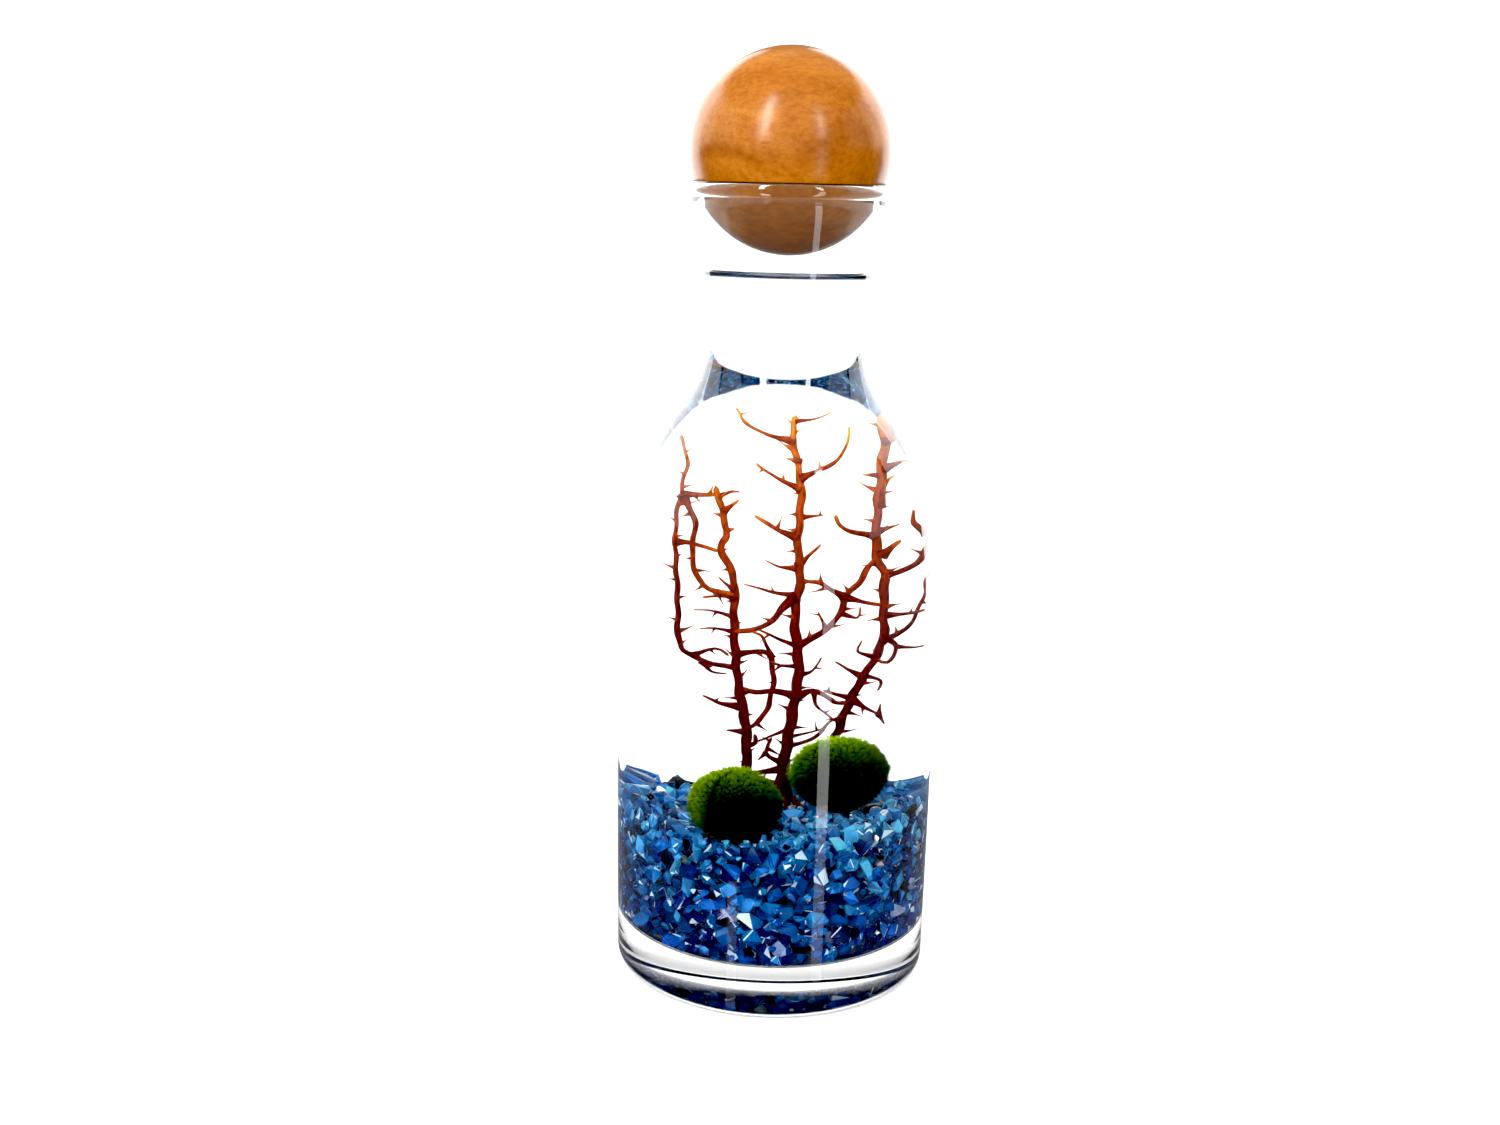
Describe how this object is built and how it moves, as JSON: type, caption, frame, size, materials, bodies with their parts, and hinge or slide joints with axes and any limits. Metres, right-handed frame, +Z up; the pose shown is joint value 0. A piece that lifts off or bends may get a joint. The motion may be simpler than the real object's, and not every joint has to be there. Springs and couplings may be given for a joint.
{
  "type": "planted marimo carafe with wooden ball stopper",
  "caption": "Clear flared-neck carafe of water with blue glass gravel, green moss balls and a branching sea fan, closed by a wooden ball resting in its mouth.",
  "frame": {"origin": "on the carafe's axis, at the plane of the flat ring it stands on", "axes": "+Z up along the carafe's axis; -Y is the front, where one moss ball leans towards the glass; +X is to the right seen from the front"},
  "size_m": [0.083, 0.083, 0.2363],
  "materials": {
    "clear_glass": "clear, smooth, with a faint green tint in the thick base",
    "varnished_wood": "fine-grained orange-brown wood under satin varnish",
    "water": "clear still water",
    "blue_glass_gravel": "crushed glass chips, cobalt to sky blue with a few white, grey and black ones",
    "moss": "dense felt of fine green filaments, bright at the rim",
    "sea_fan": "matt red-brown horny branches, paler and golden at the tips"
  },
  "bodies": {
    "root": {"glass_carafe": "clear_glass", "ball_stopper": "varnished_wood", "water": "water", "gravel_bed": "blue_glass_gravel", "moss_ball_front": "moss", "moss_ball_back": "moss", "sea_fan_trunk": "sea_fan", "sea_fan_left_limb": "sea_fan", "sea_fan_outer_left_limb": "sea_fan", "sea_fan_right_limb": "sea_fan", "sea_fan_right_fork": "sea_fan", "sea_fan_far_right_limb": "sea_fan"}
  },
  "joints": []
}
